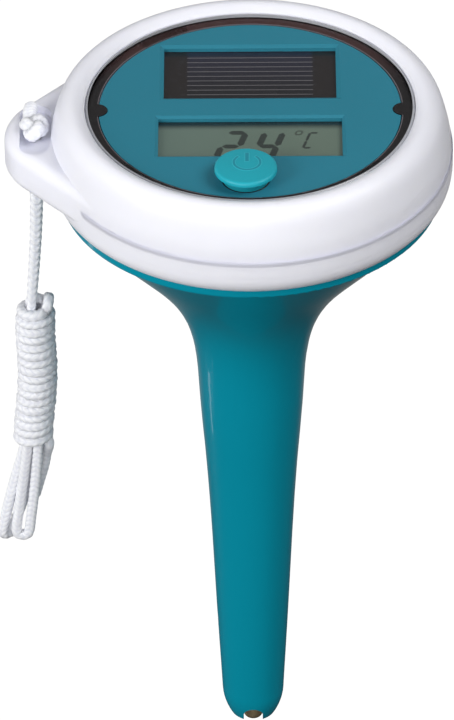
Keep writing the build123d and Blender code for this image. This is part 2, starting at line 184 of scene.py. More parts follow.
def makeMouldedSkin():
    # fine moulding grain and a faint cloudy tone, for every plastic, rubber and resin
    inputs = {
        "Colour": (0.8, 0.8, 0.8, 1.0),
        "Tone": 0.04,
        "Cloud Scale": 60.0,
        "Grain Scale": 2500.0,
        "Roughness": 0.3,
        "Spread": 0.05,
    }
    group, given, result = newGroup("mouldedSkin", inputs, finishOutputs)
    place = ownPlace(group)[0]
    cloud = calc(group, "SUBTRACT", noise(group, place, given["Cloud Scale"], 3.0), 0.5)
    shade = calc(group, "MULTIPLY_ADD", cloud, given["Tone"], 1.0)
    tinted = addNode(group, "ShaderNodeVectorMath", operation="SCALE")
    feed(group, tinted.inputs[0], given["Colour"])
    feed(group, tinted.inputs["Scale"], shade)
    feed(group, result["Colour"], tinted.outputs[0])
    rough = calc(group, "MULTIPLY_ADD", cloud, given["Spread"], given["Roughness"])
    feed(group, result["Roughness"], rough)
    feed(group, result["Height"], noise(group, place, given["Grain Scale"]))
    return group


def makeMetalBloom():
    # dull patches and fine drawn lines on bare metal
    inputs = {
        "Colour": (0.7, 0.7, 0.7, 1.0),
        "Bloom Colour": (0.4, 0.4, 0.4, 1.0),
        "Bloom": 0.5,
        "Roughness": 0.3,
    }
    group, given, result = newGroup("metalBloom", inputs, finishOutputs)
    place = ownPlace(group)[0]
    patches = ramp(group, noise(group, place, 350.0, 5.0), 0.4, 0.65)
    amount = calc(group, "MULTIPLY", patches, given["Bloom"])
    stretched = addNode(group, "ShaderNodeMapping")
    feed(group, stretched.inputs["Vector"], place)
    stretched.inputs["Scale"].default_value = (4000, 4000, 150)
    lines = noise(group, stretched.outputs[0], 1.0)
    feed(group, result["Colour"], mixColour(group, amount, given["Colour"], given["Bloom Colour"]))
    feed(group, result["Roughness"], calc(group, "MULTIPLY_ADD", amount, 0.3, given["Roughness"]))
    feed(group, result["Height"], lines)
    return group


mouldedSkin = makeMouldedSkin()
metalBloom = makeMetalBloom()


def newMaterial(name):
    material = bpy.data.materials.new(name)
    material.use_nodes = True
    tree = material.node_tree
    return material, tree, tree.nodes["Principled BSDF"]


def bumpUp(tree, shader, height, strength, distance):
    bump = addNode(tree, "ShaderNodeBump")
    bump.inputs["Strength"].default_value = strength
    bump.inputs["Distance"].default_value = distance
    feed(tree, bump.inputs["Height"], height)
    feed(tree, shader.inputs["Normal"], bump.outputs["Normal"])


def letLightIn(shader, weight, depth, spread):
    # light spreads a little way into a white piece, which softens its hollows
    shader.inputs["Subsurface Weight"].default_value = weight
    shader.inputs["Subsurface Scale"].default_value = depth
    shader.inputs["Subsurface Radius"].default_value = spread


def moulded(name, colour, roughness, tone=0.03, spread=0.05, cloudScale=60.0, grainScale=2500.0,
            grain=0.1, coat=0.0, specular=0.5):
    # colour may be three numbers or a function that makes it from the material's own places
    material, tree, shader = newMaterial(name)
    skin = addNode(tree, "ShaderNodeGroup", node_tree=mouldedSkin)
    feed(tree, skin.inputs["Colour"], colour(tree) if callable(colour) else (*colour, 1.0))
    settings = {"Tone": tone, "Cloud Scale": cloudScale, "Grain Scale": grainScale,
                "Roughness": roughness, "Spread": spread}
    for key, value in settings.items():
        skin.inputs[key].default_value = value
    feed(tree, shader.inputs["Base Color"], skin.outputs["Colour"])
    feed(tree, shader.inputs["Roughness"], skin.outputs["Roughness"])
    bumpUp(tree, shader, skin.outputs["Height"], grain, 0.02 * mm)
    shader.inputs["Coat Weight"].default_value = coat
    shader.inputs["Coat Roughness"].default_value = 0.05
    shader.inputs["Specular IOR Level"].default_value = specular
    return material


def bareMetal(name, colour, bloomColour, roughness, bloom=0.4, strength=0.15):
    material, tree, shader = newMaterial(name)
    skin = addNode(tree, "ShaderNodeGroup", node_tree=metalBloom)
    skin.inputs["Colour"].default_value = (*colour, 1.0)
    skin.inputs["Bloom Colour"].default_value = (*bloomColour, 1.0)
    skin.inputs["Bloom"].default_value = bloom
    skin.inputs["Roughness"].default_value = roughness
    feed(tree, shader.inputs["Base Color"], skin.outputs["Colour"])
    feed(tree, shader.inputs["Roughness"], skin.outputs["Roughness"])
    bumpUp(tree, shader, skin.outputs["Height"], strength, 0.01 * mm)
    shader.inputs["Metallic"].default_value = 1.0
    return material


gasketLook = {
    "black": (0.007, 0.005, 0.006, 1),
    # the brown is a painted reflection on the far side and the pale colour below it a painted highlight
    # along the inner border
    "reflectedBrown": (0.060, 0.024, 0.022, 1),
    "edge": (0.17, 0.15, 0.165, 1),
    "edgeWidth": 0.24 * mm,
    "tabCentre": 36.9 * mm,
    "tabRadius": 2.6 * mm,
}


def gasketColour(tree):
    # black, with a painted reflection making it browner round the far side, and a pale painted
    # highlight along its inner border that also runs round the tabs
    place, x, y, z = ownPlace(tree)
    reach = awayFrom(tree, x, y)
    far = ramp(tree, y, 0.25 * plateRadius, 0.8 * plateRadius)
    dark = mixColour(tree, far, gasketLook["black"], gasketLook["reflectedBrown"])
    inner = plateRadius + 0.3 * mm
    edge = ramp(tree, reach, inner + gasketLook["edgeWidth"], inner + 0.7 * gasketLook["edgeWidth"])
    fromTab = awayFrom(tree, calc(tree, "ABSOLUTE", x), y, gasketLook["tabCentre"])
    outsideTab = ramp(tree, fromTab, gasketLook["tabRadius"], gasketLook["tabRadius"] + 0.1 * mm)
    return mixColour(tree, calc(tree, "MULTIPLY", edge, outsideTab), dark, gasketLook["edge"])


def boardColour(tree):
    # solder mask with paler tracks and tinned pads
    place, x, y, z = ownPlace(tree)
    tracks = addNode(tree, "ShaderNodeTexBrick")
    feed(tree, tracks.inputs["Vector"], place)
    tracks.inputs["Scale"].default_value = 160
    tracks.inputs["Mortar Size"].default_value = 0.02
    tracks.inputs["Color1"].default_value = (0.012, 0.10, 0.035, 1)
    tracks.inputs["Color2"].default_value = (0.010, 0.085, 0.03, 1)
    tracks.inputs["Mortar"].default_value = (0.03, 0.22, 0.07, 1)
    dots = addNode(tree, "ShaderNodeTexVoronoi")
    feed(tree, dots.inputs["Vector"], place)
    dots.inputs["Scale"].default_value = 230
    pads = ramp(tree, dots.outputs["Distance"], 0.16, 0.12)
    return mixColour(tree, pads, tracks.outputs["Color"], (0.62, 0.60, 0.52, 1))


def stripColour(tree):
    # the fine conducting and insulating bands of the rubber connectors
    place, x, y, z = ownPlace(tree)
    bands = calc(tree, "SINE", calc(tree, "MULTIPLY", x, 2 * pi / (0.5 * mm)))
    return mixColour(tree, ramp(tree, bands, -0.3, 0.3), (0.03, 0.03, 0.03, 1), (0.55, 0.55, 0.56, 1))


# the probe's lead leans over from the stem's axis at one level to the plug's x at the other
leadRun = {"axisLevel": -44 * mm, "plugLevel": -12 * mm, "plugX": 14 * mm}


def leadColour(tree):
    # two wires side by side, one red and one black, parted by the lead's own middle line
    place, x, y, z = ownPlace(tree)
    slope = leadRun["plugX"] / (leadRun["plugLevel"] - leadRun["axisLevel"])
    middle = calc(tree, "MULTIPLY_ADD", z, slope, -leadRun["axisLevel"] * slope)
    middle = calc(tree, "MINIMUM", calc(tree, "MAXIMUM", middle, 0.0), leadRun["plugX"])
    side = ramp(tree, calc(tree, "SUBTRACT", x, middle), -0.05 * mm, 0.05 * mm)
    return mixColour(tree, side, (0.015, 0.015, 0.015, 1), (0.42, 0.02, 0.018, 1))


def foamColour(tree):
    # small closed cells
    cells = addNode(tree, "ShaderNodeTexVoronoi")
    feed(tree, cells.inputs["Vector"], ownPlace(tree)[0])
    cells.inputs["Scale"].default_value = 1600
    return mixColour(tree, cells.outputs["Distance"], (0.10, 0.10, 0.105, 1), (0.32, 0.32, 0.33, 1))


ringWhite = moulded("ringWhite", (0.875, 0.88, 0.99), 0.38, tone=0.012, grainScale=1400, grain=0.05,
                    specular=0.3)
letLightIn(ringWhite.node_tree.nodes["Principled BSDF"], 0.5, 5 * mm, (0.9, 0.92, 1.0))
bodyTeal = moulded("bodyTeal", (0.0, 0.250, 0.345), 0.34, tone=0.03, grainScale=1400, grain=0.05,
                   coat=0.38, specular=0.16)
plateTeal = moulded("plateTeal", (0.028, 0.255, 0.355), 0.5, tone=0.06, grainScale=3500, grain=0.5,
                    specular=0.35)
buttonTeal = moulded("buttonTeal", (0.012, 0.36, 0.44), 0.42, tone=0.03, grain=0.2, specular=0.35)
# pale border of the power sign: a painted highlight on its raised edges
markEdgeHighlight = moulded("markEdgeHighlight", (0.025, 0.43, 0.51), 0.4, tone=0.05)
markFill = moulded("markFill", (0.006, 0.26, 0.34), 0.45, tone=0.05)
gasketBlack = moulded("gasketBlack", gasketColour, 0.3, tone=0.25, coat=0.3)
sealBlack = moulded("sealBlack", (0.014, 0.012, 0.014), 0.5, tone=0.2)
tapeBlack = moulded("tapeBlack", (0.02, 0.02, 0.021), 0.7, tone=0.2, grain=0.4)
holderBlack = moulded("holderBlack", (0.03, 0.03, 0.032), 0.45, tone=0.1, grain=0.3)
chipBlack = moulded("chipBlack", (0.016, 0.016, 0.018), 0.6, tone=0.15, grainScale=6000, grain=0.6)
nylonIvory = moulded("nylonIvory", (0.62, 0.58, 0.46), 0.45, tone=0.06)
stripRubber = moulded("stripRubber", stripColour, 0.6, tone=0.05)
boardGreen = moulded("boardGreen", boardColour, 0.35, tone=0.08, coat=0.3)
leadCover = moulded("leadCover", leadColour, 0.45, tone=0.06)
solarWire = moulded("solarWire", (0.40, 0.03, 0.02), 0.45, tone=0.08)
beadBlack = moulded("beadBlack", (0.02, 0.018, 0.016), 0.3, tone=0.2, coat=0.4)
pottingDark = moulded("pottingDark", (0.05, 0.035, 0.02), 0.25, tone=0.3, cloudScale=300, coat=0.4)
foamGrey = moulded("foamGrey", foamColour, 0.85, tone=0.1, grainScale=1600, grain=0.9)
screwSteel = bareMetal("screwSteel", (0.62, 0.62, 0.63), (0.42, 0.42, 0.44), 0.3)
springSteel = bareMetal("springSteel", (0.50, 0.50, 0.52), (0.30, 0.30, 0.32), 0.25)
cellSteel = bareMetal("cellSteel", (0.72, 0.72, 0.70), (0.55, 0.55, 0.53), 0.22)
contactBrass = bareMetal("contactBrass", (0.75, 0.58, 0.30), (0.5, 0.36, 0.18), 0.28)
probeBrass = bareMetal("probeBrass", (0.86, 0.68, 0.42), (0.52, 0.38, 0.20), 0.42, bloom=0.7,
                       strength=0.3)
ballastIron = bareMetal("ballastIron", (0.24, 0.23, 0.22), (0.13, 0.09, 0.07), 0.55, bloom=0.8,
                        strength=0.6)

lensLook = {
    "rimWidth": 0.6 * mm,
    "clear": (0.0, 0.0, 0.0, 1),
    # pale colour of the painted reflection on the bevel
    "bevelGlint": (0.50, 0.51, 0.54, 1),
    "shown": 0.03,
}


def makeLensClear():
    # clear acrylic that shows more as it is seen more obliquely, with a pale band round its outer
    # border that is a painted reflection on the bevel
    material, tree, shader = newMaterial("lensClear")
    place, x, y, z = ownPlace(tree)
    reach = awayFrom(tree, x, y)
    rimStart = lensRadius - lensLook["rimWidth"]
    bevelGlint = ramp(tree, reach, rimStart - 0.05 * mm, rimStart)
    edgeOn = addNode(tree, "ShaderNodeLayerWeight").outputs["Facing"]
    specks = noise(tree, place, 900.0)
    shown = calc(tree, "MULTIPLY_ADD", calc(tree, "POWER", edgeOn, 5.0), 0.6, lensLook["shown"])
    alpha = calc(tree, "MAXIMUM", shown, calc(tree, "MULTIPLY", bevelGlint, 0.8), clamp=True)
    feed(tree, shader.inputs["Alpha"], alpha)
    feed(tree, shader.inputs["Base Color"], mixColour(tree, bevelGlint, lensLook["clear"], lensLook["bevelGlint"]))
    feed(tree, shader.inputs["Roughness"], calc(tree, "MULTIPLY_ADD", specks, 0.05, 0.03))
    shader.inputs["IOR"].default_value = 1.45
    return material


windowLook = {
    "farEdge": -3.1 * mm,
    "shadowDepth": 3.4 * mm,
    "left": (0.152, 0.221, 0.183, 1),
    "right": (0.161, 0.222, 0.175, 1),
    "shadow": (0.020, 0.032, 0.034, 1),
}


def displayColour(tree):
    # grey green glass with a painted shadow of the window's far wall as a dark band along its far side
    place, x, y, z = ownPlace(tree)
    tint = mixColour(tree, ramp(tree, x, -22 * mm, 16 * mm), windowLook["left"], windowLook["right"])
    wander = calc(tree, "MULTIPLY", calc(tree, "SUBTRACT", noise(tree, place, 90.0), 0.5), 0.8 * mm)
    level = calc(tree, "ADD", y, wander)
    low = windowLook["farEdge"] - windowLook["shadowDepth"]
    # painted shadow of the window's far wall, darkest along the far side
    shade = ramp(tree, level, low, windowLook["farEdge"] - 0.6 * mm)
    return mixColour(tree, shade, tint, windowLook["shadow"])


def cellColour(tree):
    # violet grey silicon in the middle, browner where it has no fingers, in faint sub cells
    place, x, y, z = ownPlace(tree)
    side = calc(tree, "ABSOLUTE", calc(tree, "SUBTRACT", x, cellX))
    bare = ramp(tree, side, 14.6 * mm, 15.6 * mm)
    up = ramp(tree, y, cellY - 8 * mm, cellY + 9 * mm)
    violet = mixColour(tree, up, (0.013, 0.013, 0.016, 1), (0.022, 0.022, 0.040, 1))
    tint = mixColour(tree, bare, violet, (0.018, 0.014, 0.014, 1))
    crystals = ramp(tree, noise(tree, place, 500.0, 4.0), 0.55, 0.8)
    return mixColour(tree, crystals, tint, (0.035, 0.033, 0.038, 1))


lensClear = makeLensClear()
displayGlass = moulded("displayGlass", displayColour, 0.22, tone=0.06, cloudScale=200, grain=0.03,
                       coat=0.3)
cellSilicon = moulded("cellSilicon", cellColour, 0.3, tone=0.15, cloudScale=300, grain=0.05, coat=0.3)
segmentInk = moulded("segmentInk", (0.048, 0.062, 0.055), 0.35, tone=0.1)
faintInk = moulded("faintInk", (0.075, 0.095, 0.075), 0.35, tone=0.1)
fingerSilver = moulded("fingerSilver", (0.22, 0.21, 0.22), 0.4, tone=0.3, cloudScale=400)

finishes = {
    ringWhite: ["float_ring"],
    bodyTeal: ["body_shell"],
    plateTeal: ["face_plate"],
    buttonTeal: ["button_cap"],
    lensClear: ["lens"],
    gasketBlack: ["lens_gasket"],
    sealBlack: ["body_seal", "button_oring"],
    tapeBlack: ["solar_tape"],
    cellSilicon: ["solar_cell"],
    displayGlass: ["lcd_glass"],
    holderBlack: ["lcd_frame", "battery_holder", "switch_body"],
    stripRubber: ["zebra_strips"],
    boardGreen: ["circuit_board"],
    chipBlack: ["driver_chip"],
    screwSteel: ["board_screws"],
    springSteel: ["button_clip", "button_spring"],
    cellSteel: ["coin_cell"],
    contactBrass: ["battery_contact"],
    nylonIvory: ["switch_plunger", "lead_socket", "lead_plug"],
    solarWire: ["solar_leads"],
    leadCover: ["probe_lead"],
    beadBlack: ["thermistor"],
    probeBrass: ["probe_cap"],
    pottingDark: ["probe_potting"],
    ballastIron: ["ballast_weight"],
    foamGrey: ["ballast_plug"],
}
for finish, nodeNames in finishes.items():
    for nodeName in nodeNames:
        dress(nodes[nodeName], finish)
print("materials made")


def selectFaces(piece, wanted):
    # leaves the piece in edit mode with only the wanted faces selected
    makeActive(piece)
    bpy.ops.object.mode_set(mode="EDIT")
    bpy.ops.mesh.select_mode(type="FACE")
    bpy.ops.mesh.select_all(action="DESELECT")
    bpy.ops.object.mode_set(mode="OBJECT")
    for face in piece.data.polygons:
        face.select = wanted(face)
    bpy.ops.object.mode_set(mode="EDIT")


# silver fingers printed across the middle of the solar cell
fingers = {
    "count": 9,
    "pitch": 1.96 * mm,
    "first": 8.7 * mm,
    "length": 30.4 * mm,
    "width": 0.19 * mm,
    "thickness": 0.02 * mm,
}
firstPlace = (cellX, fingers["first"], cellHigh[2] + fingers["thickness"] / 2)
bpy.ops.mesh.primitive_cube_add(size=1, location=firstPlace)
cellFingers = bpy.context.active_object
cellFingers.name = "cellFingers"
cellFingers.scale = (fingers["length"], fingers["width"], fingers["thickness"])
applyPlace(cellFingers)
rows = cellFingers.modifiers.new("rows", "ARRAY")
rows.count = fingers["count"]
rows.use_relative_offset = False
rows.use_constant_offset = True
rows.constant_offset_displace = (0, fingers["pitch"], 0)
applyModifiers(cellFingers)
dress(cellFingers, fingerSilver)
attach(cellFingers, "housing")

# display characters as slanted bars; columns are left 0 and right 1, rows bottom -1, middle 0 and top 1
barEnds = {
    "top": ((0, 1), (1, 1)),
    "upperLeft": ((0, 0), (0, 1)),
    "upperRight": ((1, 0), (1, 1)),
    "middle": ((0, 0), (1, 0)),
    "lowerLeft": ((0, -1), (0, 0)),
    "lowerRight": ((1, -1), (1, 0)),
    "bottom": ((0, -1), (1, -1)),
}
display = {"slant": 0.28, "thickness": 0.03 * mm, "gap": 0.28}
characters = {
    "tens": {"left": -6.9, "middle": -13.2, "width": 4.3, "rise": 5.7, "drop": 4.6, "stroke": 1.55,
             "lit": ["top", "upperRight", "middle", "lowerLeft", "bottom"]},
    "ones": {"left": 2.0, "middle": -13.2, "width": 4.3, "rise": 5.7, "drop": 4.6, "stroke": 1.55,
             "lit": ["upperLeft", "upperRight", "middle", "lowerRight"]},
    "degree": {"left": 10.75, "middle": -8.4, "width": 1.4, "rise": 1.5, "drop": 0, "stroke": 0.38,
               "lit": ["top", "upperLeft", "upperRight", "middle"]},
    "unit": {"left": 13.4, "middle": -11.0, "width": 1.9, "rise": 3.3, "drop": 2.9, "stroke": 0.62,
             "lit": ["top", "upperLeft", "lowerLeft", "bottom"]},
}


def displayBar(length, stroke):
    # a flat bar with pointed ends, lying along X
    bpy.ops.mesh.primitive_cube_add(size=1)
    bar = bpy.context.active_object
    bar.scale = (length - stroke, stroke, display["thickness"])
    applyPlace(bar)
    for side in (-1, 1):
        selectFaces(bar, lambda face: face.normal.x * side > 0.9)
        bpy.ops.mesh.extrude_region_move(TRANSFORM_OT_translate={"value": (side * stroke / 2, 0, 0)})
        bpy.ops.transform.resize(value=(1, 0.15, 1), center_override=(side * length / 2, 0, 0))
        bpy.ops.object.mode_set(mode="OBJECT")
    return bar


def displayCharacter(name, marks, ink):
    bars = []
    for barName in marks["lit"]:
        ends = []
        for column, row in barEnds[barName]:
            y = row * (marks["rise"] if row > 0 else marks["drop"])
            x = marks["left"] + column * marks["width"] + display["slant"] * y
            ends.append(Vector((x, marks["middle"] + y, 0)) * mm)
        way = ends[1] - ends[0]
        stroke = marks["stroke"] * mm
        bar = displayBar(way.length - display["gap"] * stroke, stroke)
        turned = way.to_track_quat("X", "Z").to_matrix().to_4x4()
        middle = (ends[0] + ends[1]) / 2 + Vector((0, 0, glassHigh[2] + display["thickness"] / 2))
        bar.data.transform(Matrix.Translation(middle) @ turned)
        dress(bar, ink)
        bars.append(bar)
    piece = joinAll(bars, name)
    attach(piece, "housing")
    return piece


displayCharacter("digitTens", characters["tens"], segmentInk)
displayCharacter("digitOnes", characters["ones"], segmentInk)
displayCharacter("degreeSign", characters["degree"], faintInk)
displayCharacter("unitLetter", characters["unit"], segmentInk)
print("display and cell marks made")

# power sign on the button's crown: an open ring and an upright bar, both raised, with pale borders that
# are painted highlights on their edges
powerSign = {
    "centre": (buttonX + 0.3 * mm, buttonY + 1.05 * mm),
    "radius": 3.62 * mm,
    "band": 0.95 * mm,
    "edge": 0.2 * mm,
    "opening": radians(36),
    "barWidth": 1.25 * mm,
    "barLength": 4.1 * mm,
    "thickness": 0.07 * mm,
    "sunk": 0.03 * mm,
}
crown = {"radius": 6.75 * mm, "drop": 0.3 * mm}


def paintHighlightBorder(piece):
    # a narrow border of its own all round a flat shape, pale as a painted highlight; slot 0 is the
    # border and slot 1 the middle
    selectFaces(piece, lambda face: True)
    bpy.ops.mesh.inset(thickness=powerSign["edge"], depth=0)
    bpy.ops.object.mode_set(mode="OBJECT")
    dress(piece, markEdgeHighlight, markFill)
    for face in piece.data.polygons:
        face.material_index = 1 if face.select else 0


def awayFromOpening(face):
    place = face.center - Vector((*powerSign["centre"], 0))
    return abs(Vector((0, 1)).angle_signed(place.to_2d())) < powerSign["opening"]


bpy.ops.mesh.primitive_circle_add(
    vertices=96, radius=powerSign["radius"], fill_type="NGON", location=(*powerSign["centre"], 0),
)
signRing = bpy.context.active_object
applyPlace(signRing)
selectFaces(signRing, lambda face: True)
bpy.ops.mesh.inset(thickness=powerSign["band"], depth=0)
bpy.ops.mesh.delete(type="FACE")
selectFaces(signRing, awayFromOpening)
bpy.ops.mesh.delete(type="FACE")
bpy.ops.object.mode_set(mode="OBJECT")
paintHighlightBorder(signRing)
bpy.ops.mesh.primitive_grid_add(
    x_subdivisions=2, y_subdivisions=8, size=1,
    location=(powerSign["centre"][0], powerSign["centre"][1] + powerSign["barLength"] / 2, 0),
)
signBar = bpy.context.active_object
signBar.scale = (powerSign["barWidth"], powerSign["barLength"], 1)
applyPlace(signBar)
paintHighlightBorder(signBar)
powerMark = joinAll([signRing, signBar], "powerMark")
wall = powerMark.modifiers.new("wall", "SOLIDIFY")
wall.thickness = powerSign["thickness"]
wall.offset = 1
applyModifiers(powerMark)
for vertex in powerMark.data.vertices:
    reach = (vertex.co.to_2d() - Vector((buttonX, buttonY))).length
    vertex.co.z += buttonTop - crown["drop"] * (reach / crown["radius"]) ** 2 - powerSign["sunk"]
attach(powerMark, "button")
print("power sign made")

view = {"distance": 1.69, "height": 34.64, "pitch": 36.71, "turn": 0.248, "roll": -0.45, "lens": 352.1}
camera = bpy.data.cameras.new("camera")
camera.sensor_width = 36
camera.lens = view["lens"]
camera.clip_end = 20
cameraPiece = bpy.data.objects.new("camera", camera)
bpy.context.scene.collection.objects.link(cameraPiece)
bpy.context.scene.camera = cameraPiece
cameraPiece.location = (
    0,
    -view["distance"] * cos(radians(view["height"])),
    lensTop + view["distance"] * sin(radians(view["height"])),
)
aim = (
    Matrix.Rotation(radians(view["turn"]), 3, "Z")
    @ Matrix.Rotation(radians(90 - view["pitch"]), 3, "X")
    @ Matrix.Rotation(radians(view["roll"]), 3, "Z")
)
cameraPiece.rotation_euler = aim.to_euler()

cordSize = {
    "diameter": 2.6 * mm,
    "stitchPitch": 2.07 * mm,
    "columns": 4,
    "around": 28,
    "step": 0.26 * mm,
    "groove": 0.84,  # shares of the radius
    "crest": 0.30,
    "flatCrest": 0.18,
    "slackShare": 0.35,
}
# the straight stretch, point for point as the cord lies below the lug
cordRoute = [
    (-0.05165, 0, 0.0122),
    (-0.05165, 0, -0.0015),
    (-0.0521, 0.0002, -0.0185),
    (-0.0526, 0, -0.0356),
]
hank = {
    "top": Vector((-52.4, 0, -38.0)) * mm,
    "bottom": Vector((-53.9, 0, -79.6)) * mm,
    "sway": 0.4 * mm,
    "core": 1.3 * mm,
    "loopReach": 1.6 * mm,
    "wrapRadius": 3.75 * mm,
    "shoulderRadius": 2.4 * mm,
    "shoulderTurns": 1.5,
    "unevenness": 0.02,
    "wrapStart": radians(130),
    "wraps": 17.3,
    "pointsPerWrap": 14,
    "rightTail": Vector((-57.5, -1.6, -106.2)) * mm,
    "leftTail": Vector((-61.3, 0.6, -107.4)) * mm,
    "looseEnd": [
        (3.6, 0.0, -1.2),
        (3.1, 1.0, -3.2),
        (2.5, 2.0, -6),
        (2.2, 2.0, -9),
        (1.0, 1.8, -13),
        (-0.6, 1.4, -19),
    ],
}


def corePoint(share, dx, dy):
    # a place along the hank's core, share 0 at the top and 1 at the bottom of the wraps
    centre = hank["top"].lerp(hank["bottom"], share)
    sway = hank["sway"] * sin(2 * pi * (share - 0.32) / 0.86)
    return centre + Vector((dx * hank["core"] + sway, dy * hank["core"], 0))


def tailLoop(start, end, low, side, spreadDown, spreadUp):
    # down to the low end of a loop, round its tight bend, and back up, each side bowed outward
    side = side.normalized()
    reach = hank["loopReach"]
    drop = Vector((0, 0, -1)) * mm
    points = []
    for share in (0.3, 0.62, 0.9):
        bow = side * spreadDown * sin(pi * share)
        points.append(start.lerp(low - side * reach, share) + 0.4 * drop - bow)
    points += [
        low - side * reach * 1.1 + 0.9 * drop,
        low - side * reach * 0.55 + 2.0 * drop,
        low + side * reach * 0.55 + 2.0 * drop,
        low + side * reach * 1.1 + 0.9 * drop,
    ]
    for share in (0.9, 0.62, 0.3):
        bow = side * spreadUp * sin(pi * share)
        points.append(end.lerp(low + side * reach, share) + 0.4 * drop + bow)
    return points


def lanyardPoints():
    points = [Vector(p) for p in cordRoute[:3]]
    # down the front left of the core to the first loop
    points += [corePoint(s, -1, -1) for s in (0.02, 0.25, 0.5, 0.75, 1.0)]
    points += tailLoop(
        corePoint(1.0, -1, -1), corePoint(1.0, 1, -1), hank["rightTail"], Vector((1, 0, 0)),
        0.1 * mm, 0.3 * mm,
    )
    # up the front right, over the top as the small loop, and down the back right
    points += [corePoint(s, 1, -1) for s in (1.0, 0.75, 0.5, 0.25, 0.06)]
    points += [
        corePoint(0.01, 2.0, -1.5),
        corePoint(-0.045, 2.3, -1.3),
        corePoint(-0.045, 2.3, 1.2),
        corePoint(0.01, 2.0, 1.4),
    ]
    points += [corePoint(s, 1, 1) for s in (0.06, 0.25, 0.5, 0.75, 1.0)]
    points += tailLoop(
        corePoint(1.0, 1, 1), corePoint(1.0, -1, 1), hank["leftTail"], Vector((-0.8, -0.6, 0)),
        1.2 * mm, 0.8 * mm,
    )
    points += [corePoint(s, -1, 1) for s in (1.0, 0.75, 0.5, 0.25, 0.09)]
    # wraps down the outside, close together, drawn in over the shoulder
    count = round(hank["wraps"] * hank["pointsPerWrap"])
    for step in range(count + 1):
        turn = step / hank["pointsPerWrap"]
        angle = hank["wrapStart"] - 2 * pi * turn
        widened = sin(min(turn / hank["shoulderTurns"], 1) * pi / 2)
        radius = hank["shoulderRadius"] + (hank["wrapRadius"] - hank["shoulderRadius"]) * widened
        radius *= 1 + hank["unevenness"] * sin(turn * 2.7)
        share = -0.01 + 0.995 * step / count
        points.append(corePoint(share, 0, 0) + Vector((cos(angle), sin(angle), 0)) * radius)
    # the end comes out under the last wrap and hangs behind the loops
    for place in hank["looseEnd"]:
        points.append(hank["bottom"] + Vector(place) * mm)
    return points


def splineLine(name, points):
    # the smooth line that a list of control points gives, read from a curve with no bevel
    curve = bpy.data.curves.new(name, "CURVE")
    curve.dimensions = "3D"
    curve.resolution_u = 12
    spline = curve.splines.new("NURBS")
    spline.points.add(len(points) - 1)
    for controlPoint, place in zip(spline.points, points):
        controlPoint.co = (*place, 1)
    spline.order_u = 4
    spline.use_endpoint_u = True
    holder = bpy.data.objects.new(name, curve)
    bpy.context.scene.collection.objects.link(holder)
    bpy.context.view_layer.update()
    line = bpy.data.meshes.new_from_object(holder.evaluated_get(bpy.context.evaluated_depsgraph_get()))
    places = [vertex.co.copy() for vertex in line.vertices]
    bpy.data.objects.remove(holder)
    bpy.data.meshes.remove(line)
    return places


def evenly(places, step):
    # the same line with points an even step apart, and its length
    lengths = [0.0]
    for a, b in zip(places, places[1:]):
        lengths.append(lengths[-1] + (b - a).length)
    count = max(2, round(lengths[-1] / step))
    out = []
    at = 0
    for i in range(count + 1):
        want = lengths[-1] * i / count
        while at < len(places) - 2 and lengths[at + 1] < want:
            at += 1
        span = lengths[at + 1] - lengths[at]
        share = (want - lengths[at]) / span if span > 0 else 0
        out.append(places[at].lerp(places[at + 1], min(max(share, 0), 1)))
    return out, lengths[-1]


def stitchHeight(column, along):
    # chained stitches: slanted lobes, mirrored from one column to the next, so that pairs make a V
    within = column % 1.0
    slant = 1 if int(column) % 2 else -1
    phase = along + slant * (within - 0.5) * 0.95
    return sin(pi * within) ** 0.55 * abs(sin(pi * phase)) ** 0.7


def braidedTube(name, places, fullness, stitches, crest):
    # a closed tube along the line whose surface is the braid itself; the last three are functions
    # of the length travelled: a share of the width, the stitches so far and how high they stand
    line, length = evenly(places, cordSize["step"])
    around = cordSize["around"]
    last = len(line) - 1
    tangents = [(line[min(i + 1, last)] - line[max(i - 1, 0)]).normalized() for i in range(last + 1)]
    normal = (Vector((1, 0, 0)) - tangents[0] * tangents[0].x).normalized()
    points, heights, faces, uvs = [], [], [], []
    for i, place in enumerate(line):
        if i:
            normal = tangents[i - 1].rotation_difference(tangents[i]) @ normal
            normal = (normal - tangents[i] * normal.dot(tangents[i])).normalized()
        other = tangents[i].cross(normal)
        travelled = length * i / last
        full = fullness(travelled) * min(1, 0.55 + 0.45 * min(i, last - i) / 4)
        for k in range(around):
            angle = 2 * pi * k / around
            column = (k + 0.5) * cordSize["columns"] / around
            height = stitchHeight(column, stitches(travelled))
            radius = cordSize["diameter"] / 2 * full * (cordSize["groove"] + crest(travelled) * height)
            points.append(place + (normal * cos(angle) + other * sin(angle)) * radius)
            heights.append(height)
    for i in range(last):
        low = length * i / last / cordSize["diameter"]
        high = length * (i + 1) / last / cordSize["diameter"]
        for k in range(around):
            a = i * around + k
            b = i * around + (k + 1) % around
            faces.append((a, b, b + around, a + around))
            left, right = k / around, (k + 1) / around
            uvs += [(left, low), (right, low), (right, high), (left, high)]
    for ring in (0, last):
        points.append(line[ring])
        heights.append(0.5)
        for k in range(around):
            a = ring * around + k
            b = ring * around + (k + 1) % around
            faces.append((a, b, len(points) - 1) if ring else (b, a, len(points) - 1))
            uvs += [(0, 0), (0, 0), (0, 0)]
    mesh = bpy.data.meshes.new(name)
    mesh.from_pydata(points, [], faces)
    layer = mesh.uv_layers.new(name="UVMap")
    layer.data.foreach_set("uv", [number for uv in uvs for number in uv])
    relief = mesh.attributes.new("relief", "FLOAT", "POINT")
    relief.data.foreach_set("value", heights)
    for polygon in mesh.polygons:
        polygon.use_smooth = True
    piece = bpy.data.objects.new(name, mesh)
    bpy.context.scene.collection.objects.link(piece)
    return piece, line, length


cordLook = {
    # the groove colour is painted shade between the stitches
    "groove": (0.76, 0.78, 0.86, 1),
    "crest": (0.93, 0.945, 1.0, 1),
    "fibres": 26,
}


